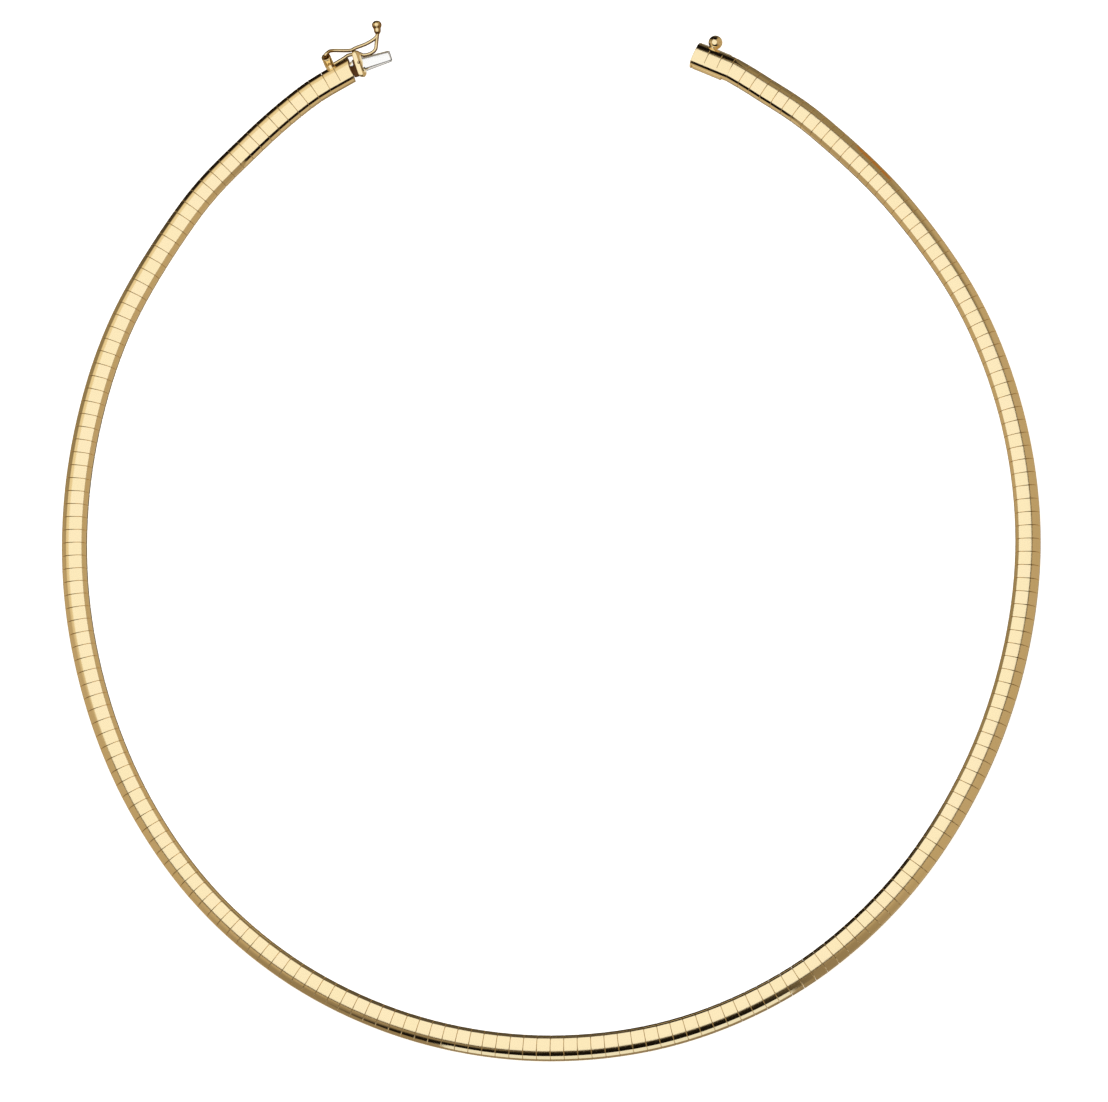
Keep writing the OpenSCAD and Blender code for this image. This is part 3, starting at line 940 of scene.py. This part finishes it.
white_stops = [(-1.3, 0.8), (-0.7, 0.8), (-0.28, 0.84), (-0.24, 1.1), (-0.18, 1.25), (0.14, 1.3)]
brown_stops = [(-1.3, -0.8, 0.47), (-0.7, -0.8, 0.47), (-0.28, -0.84, 0.47), (-0.24, -1.2, 0.47),
               (-0.18, -1.45, 0.47), (0.12, -1.5, 0.47), (0.16, -1.5, 1.45), (0.6, -1.5, 1.5),
               (1.3, -1.5, 1.5)]
white_rings = [neck_ring(x, 0.5, outer) for x, outer in white_stops]
brown_rings = [neck_ring(*stop) for stop in brown_stops]
tongue = joined("folded_tongue", [[strip_ring(*stop) for stop in strip_way], white_rings])
# painted shade: the neck's brown part is the dark of the gap between the cap and the bar
neck = joined("neck_in_painted_shade", [brown_rings])
print("rings of the neck:", len(white_rings), "in white and", len(brown_rings), "in brown")

# %% Stop bar
BAR_T = 1.25
BAR_MID = 0.55 + BAR_T / 2
BAR_SHIFT = 0.2
BAR_HALF = 2.2
BAR_LOW = 0.9
BAR_TOP = 2.2
FALL = 0.25
END_HALF = 0.06
END_FALL = 0.35


def bar_ring(y, half, top):
    """The bar's section at y: a flat top with a small round behind and a slope in front."""
    grow = half / (BAR_T / 2)
    ring = [(-0.6, BAR_LOW), (-0.66, BAR_LOW + 0.06), (-0.66, top - 0.12), (-0.645, top - 0.06),
            (-0.61, top - 0.02), (-0.55, top), (-0.3, top + 0.01), (-0.02, top), (0.05, top - 0.015),
            (0.11, top - 0.05), (0.42, top - 0.33), (0.6, top - 0.5), (0.65, top - 0.57),
            (0.66, top - 0.65), (0.66, BAR_LOW + 0.06), (0.6, BAR_LOW)]
    return [by_tongue(BAR_MID + x * grow, y, z) for x, z in ring]


bar_rings = []
bar_stops = [-1, -0.995, -0.98, -0.95, -0.9, -0.84, -0.77, -0.6, -0.4, -0.2, -0.08, 0, 0.08, 0.3, 0.55,
             0.77, 0.84, 0.9, 0.95, 0.98, 0.995, 1]
for share in bar_stops:
    y = share * BAR_HALF
    past = max(0, abs(y) - (BAR_HALF - BAR_T / 2)) / (BAR_T / 2)
    half = max(END_HALF, BAR_T / 2 * math.sqrt(max(0, 1 - past * past)))
    top = BAR_TOP - FALL * max(0, -y) - END_FALL * (1 - math.sqrt(max(0, 1 - (past * 0.95) ** 2)))
    bar_rings.append(bar_ring(BAR_SHIFT + y, half, top))
bar = joined("stop_bar_polished", [bar_rings])
# painted shade: a thin dark brown disc on the bar stands for the shade in a punched dimple
dimple_foot = Vector((BAR_MID + 0.02, BAR_SHIFT - 0.05, BAR_TOP - 0.06))
profile = [(0, 0.25), (0.05, 0.25), (0.07, 0.22), (0.06, 0.15), (0.03, 0.02)]
dimple_rings = turned_on(dimple_foot, Vector((0, 0, 1)), profile, 20, by_tongue)
dimple = joined("dimple_in_painted_shade", [dimple_rings])
print("rings of the bar:", len(bar_rings), "and of its dimple:", len(dimple_rings))

# %% What the clasp's pieces ride on and replace
for piece, node, slot_name in [
    (box, "clasp_box", "clasp"),
    (cap, "tongue_cap", "clasp"),
    (tongue, "tongue", "tongue"),
    (neck, "tongue", "tongue"),
    (bar, "stop_bar", "clasp"),
    (dimple, "stop_bar", "clasp"),
]:
    smooth_by_angle(piece, 40)
    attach(piece, "necklace")
    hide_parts(node)
    print(piece.name, "faces:", len(piece.data.polygons))

# %% [markdown]
# ## The safety catch
# The catch is one length of round wire, bent to a figure eight. Its pin turns in the tube on the
# cap, and its far loop snaps over the ball on the box. We place the bends in the cap's own
# frame and sweep a round section along a smooth curve.

# %% The bends of the wire
WIRE_D = 0.53
WIRE_GAP = 0.08
CATCH_L = 9.5
WIRE = [
    (0.08, 3.00, 5.90), (0.16, 3.20, 4.90), (0.41, 1.30, 3.00), (0.52, 1.25, 2.45),
    (0.73, 1.00, 1.70), (0.905, 1.30, 1.70), (0.965, 2.20, 2.25), (0.875, 0.20, 1.15),
    (0.795, -1.55, 0.66), (0.69, -1.90, 0.56), (0.58, -1.30, 0.56), (0.52, -0.15, 0.60),
    (0.36, 0.95, 0.80), (0.27, 0.85, 0.80), (0.08, 0.80, 0.56),
]
BALL_ROW = 6
SEEN_D = 0.58
SEEN_BALL = 1.54
stub = WIRE_GAP + WIRE_D / 2
far_way = [Vector((reach * CATCH_L - TUBE_BACK, HALF_W + out * WIRE_D, up * WIRE_D))
           for reach, out, up in WIRE]
bends = [on_hinge(TUBE_L - stub), on_hinge(TUBE_L + stub), *far_way, on_hinge(-stub), on_hinge(stub)]
wire_way = [on_hinge(TUBE_L / 2), on_hinge(TUBE_L)]
for i in range(1, len(bends) - 2):
    for j in range(10):
        wire_way.append(catmull(*bends[i - 1:i + 3], j / 10))
wire_way += [on_hinge(-stub), on_hinge(0), on_hinge(TUBE_L / 2)]
print("wire points:", len(wire_way))

# %% Safety catch
BALL_LONG = 1.4
BALL = [
    (0, 0.36), (0.06, 0.5), (0.12, 0.62), (0.2, 0.69), (0.27, 0.72), (0.34, 0.725), (0.4, 0.74),
    (0.46, 0.81), (0.52, 0.9), (0.58, 0.965), (0.65, 1), (0.71, 1), (0.77, 0.97), (0.83, 0.9),
    (0.88, 0.8), (0.92, 0.68), (0.95, 0.56), (0.975, 0.4), (0.99, 0.26), (1, 0.1),
]
ball_l = BALL_LONG * SEEN_BALL
ball_dir = Vector((0.39, 0.9, 0.2))
ball_from = far_way[BALL_ROW] - ball_dir * WIRE_D / 2
ball_way = [ball_from + ball_dir * ball_l * share for share, width in BALL]
catch = joined("figure_eight_catch", [
    round_bar(wire_way, [SEEN_D] * len(wire_way), 20, by_cap),
    round_bar(ball_way, [width * SEEN_BALL for share, width in BALL], 28, by_cap),
])
smooth_by_angle(catch, 50)
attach(catch, "catch")
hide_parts("safety_catch")
print("catch faces:", len(catch.data.polygons))

# %% [markdown]
# ## Gold
# Gold is a metal: it has no paint colour of its own, only tinted reflections. The tint goes in
# the base colour with the metallic value at 1. Polishing leaves faint lines and a slight haze,
# and each plate was polished by itself, so neighbours differ by a shade. The wire, the tongue and
# the cap's bevel get painted shade: a second, darker colour by the direction that their surface
# looks in, which stands in for the shade and dark reflections on those surfaces.

# %% Polish marks, shared by all the metals
polish = bpy.data.node_groups.new("polish_marks", "ShaderNodeTree")
polish.interface.new_socket("Scale", in_out="INPUT", socket_type="NodeSocketFloat")
polish.interface.new_socket("Roughness", in_out="INPUT", socket_type="NodeSocketFloat")
polish.interface.new_socket("Haze", in_out="INPUT", socket_type="NodeSocketFloat")
polish.interface.new_socket("Roughness", in_out="OUTPUT", socket_type="NodeSocketFloat")
polish.interface.new_socket("Height", in_out="OUTPUT", socket_type="NodeSocketFloat")
polish_in = add(polish, "NodeGroupInput")
polish_out = add(polish, "NodeGroupOutput")
place = add(polish, "ShaderNodeTexCoord")
cloud = add(polish, "ShaderNodeTexNoise")
cloud.inputs["Detail"].default_value = 4
lines = add(polish, "ShaderNodeTexNoise")
lines.inputs["Detail"].default_value = 6
stretch = add(polish, "ShaderNodeMapping")
stretch.inputs["Scale"].default_value = (1, 6, 1)
faster = add(polish, "ShaderNodeMath", operation="MULTIPLY")
faster.inputs[1].default_value = 4
spread = add(polish, "ShaderNodeMath", operation="MULTIPLY_ADD")
polish.links.new(place.outputs["Object"], cloud.inputs["Vector"])
polish.links.new(place.outputs["Object"], stretch.inputs["Vector"])
polish.links.new(stretch.outputs["Vector"], lines.inputs["Vector"])
polish.links.new(polish_in.outputs["Scale"], cloud.inputs["Scale"])
polish.links.new(polish_in.outputs["Scale"], faster.inputs[0])
polish.links.new(faster.outputs["Value"], lines.inputs["Scale"])
polish.links.new(cloud.outputs["Fac"], spread.inputs[0])
polish.links.new(polish_in.outputs["Haze"], spread.inputs[1])
polish.links.new(polish_in.outputs["Roughness"], spread.inputs[2])
polish.links.new(spread.outputs["Value"], polish_out.inputs["Roughness"])
polish.links.new(lines.outputs["Fac"], polish_out.inputs["Height"])
print("nodes in the polish marks:", len(polish.nodes))

# %% Painted shade mask, shared by the wire, the tongue and the cap
painted_shades = bpy.data.node_groups.new("painted_shade_mask", "ShaderNodeTree")
painted_shades.interface.new_socket("Facing", in_out="INPUT", socket_type="NodeSocketVector")
painted_shades.interface.new_socket("Full at", in_out="INPUT", socket_type="NodeSocketFloat")
painted_shades.interface.new_socket("None at", in_out="INPUT", socket_type="NodeSocketFloat")
painted_shades.interface.new_socket("Both ways", in_out="INPUT", socket_type="NodeSocketFloat")
painted_shades.interface.new_socket("Mask", in_out="OUTPUT", socket_type="NodeSocketFloat")
painted_shades_in = add(painted_shades, "NodeGroupInput")
painted_shades_out = add(painted_shades, "NodeGroupOutput")
own = add(painted_shades, "ShaderNodeTexCoord")
looks = add(painted_shades, "ShaderNodeVectorMath", operation="DOT_PRODUCT")
minus = add(painted_shades, "ShaderNodeMath", operation="MULTIPLY")
minus.inputs[1].default_value = -1
back = add(painted_shades, "ShaderNodeMath", operation="MULTIPLY")
either = add(painted_shades, "ShaderNodeMath", operation="MAXIMUM")
on_side = ramp(painted_shades, 0, 1, 1, 0)
painted_shades.links.new(own.outputs["Normal"], looks.inputs[0])
painted_shades.links.new(painted_shades_in.outputs["Facing"], looks.inputs[1])
painted_shades.links.new(looks.outputs["Value"], minus.inputs[0])
painted_shades.links.new(minus.outputs["Value"], back.inputs[0])
painted_shades.links.new(painted_shades_in.outputs["Both ways"], back.inputs[1])
painted_shades.links.new(looks.outputs["Value"], either.inputs[0])
painted_shades.links.new(back.outputs["Value"], either.inputs[1])
painted_shades.links.new(either.outputs["Value"], on_side.inputs["Value"])
painted_shades.links.new(painted_shades_in.outputs["Full at"], on_side.inputs["From Min"])
painted_shades.links.new(painted_shades_in.outputs["None at"], on_side.inputs["From Max"])
painted_shades.links.new(on_side.outputs["Result"], painted_shades_out.inputs["Mask"])
print("nodes in the flank mask:", len(painted_shades.nodes))

# %% A polished metal
MARKS_SCALE = 900
MARKS_DEEP = 0.00002


def metal(name, colour, second, roughness, haze, bump, painted_shade=None, facing=(0, 0, 1), turn=None,
          both_ways=0):
    """A polished metal whose tint moves between two colours from piece to piece.

    The painted shade colour comes where the surface looks away from the facing direction, or,
    both ways, where it looks neither there nor straight back. The two numbers of turn are the
    dot products at which it begins and is full.
    """
    material, tree, shader = new_material(name)
    shader.inputs["Metallic"].default_value = 1
    marks_node = add(tree, "ShaderNodeGroup", node_tree=polish)
    marks_node.inputs["Scale"].default_value = MARKS_SCALE
    marks_node.inputs["Roughness"].default_value = roughness
    marks_node.inputs["Haze"].default_value = haze
    geometry = add(tree, "ShaderNodeNewGeometry")
    tint = add(tree, "ShaderNodeMix", data_type="RGBA")
    tint.inputs["A"].default_value = colour
    tint.inputs["B"].default_value = second
    low = add(tree, "ShaderNodeBump")
    low.inputs["Strength"].default_value = bump
    low.inputs["Distance"].default_value = MARKS_DEEP
    tree.links.new(geometry.outputs["Random Per Island"], tint.inputs["Factor"])
    # painted shade: where the mask is on, a darker colour is painted over the tint
    if painted_shade:
        side_mask = add(tree, "ShaderNodeGroup", node_tree=painted_shades)
        side_mask.inputs["Facing"].default_value = facing
        side_mask.inputs["None at"].default_value = turn[0]
        side_mask.inputs["Full at"].default_value = turn[1]
        side_mask.inputs["Both ways"].default_value = both_ways
        shade = add(tree, "ShaderNodeMix", data_type="RGBA")
        shade.inputs["B"].default_value = painted_shade
        tree.links.new(side_mask.outputs["Mask"], shade.inputs["Factor"])
        tree.links.new(tint.outputs["Result"], shade.inputs["A"])
        tree.links.new(shade.outputs["Result"], shader.inputs["Base Color"])
    else:
        tree.links.new(tint.outputs["Result"], shader.inputs["Base Color"])
    tree.links.new(marks_node.outputs["Roughness"], shader.inputs["Roughness"])
    tree.links.new(marks_node.outputs["Height"], low.inputs["Height"])
    tree.links.new(low.outputs["Normal"], shader.inputs["Normal"])
    return material


# %% The metals and what wears them
plate_gold = metal("plate_gold", (0.955, 0.800, 0.480, 1), (0.965, 0.805, 0.505, 1), 0.09, 0.04, 0.02)
clasp_gold = metal("clasp_gold", (0.950, 0.780, 0.460, 1), (0.955, 0.790, 0.475, 1), 0.09, 0.05, 0.03)
# painted shade: the cap's bevel, where it looks along the facing direction, is painted dark brown
cap_gold = metal("cap_gold", (0.950, 0.780, 0.460, 1), (0.955, 0.790, 0.475, 1), 0.09, 0.05, 0.03,
                 painted_shade=(0.20, 0.09, 0.03, 1), facing=(0.668, 0.232, 0.707), turn=(0.90, 0.97))
# painted shade: the wire's sides and underside are painted dark brown
wire_gold = metal("wire_gold", (0.93, 0.74, 0.40, 1), (0.95, 0.77, 0.44, 1), 0.10, 0.06, 0.05,
                  painted_shade=(0.24, 0.12, 0.03, 1), facing=(-0.06, 0.22, 0.97), turn=(0.93, 0.48))
mesh_gold = metal("mesh_gold", (0.83, 0.60, 0.28, 1), (0.85, 0.62, 0.30, 1), 0.26, 0.1, 0.15)
# painted shade: the tongue's edges, which look neither up nor down, are painted near black
white_gold = metal("white_gold", (0.95, 0.95, 0.94, 1), (0.96, 0.96, 0.95, 1), 0.09, 0.05, 0.04,
                   painted_shade=(0.07, 0.08, 0.10, 1), turn=(0.93, 0.55), both_ways=1)
# painted shade: a dark brown for the neck in the gap between cap and bar and for the bar's dimple
painted_shade_brown = metal("painted_shade_brown", (0.11, 0.050, 0.018, 1), (0.14, 0.065, 0.024, 1), 0.35, 0.15, 0.3)
for piece, material in [(plates, plate_gold), (core, mesh_gold), (box, clasp_gold), (cap, cap_gold),
                        (bar, clasp_gold), (tongue, white_gold), (neck, painted_shade_brown),
                        (dimple, painted_shade_brown), (catch, wire_gold)]:
    piece.data.materials.append(material)
    print(piece.name, "wears", material.name)
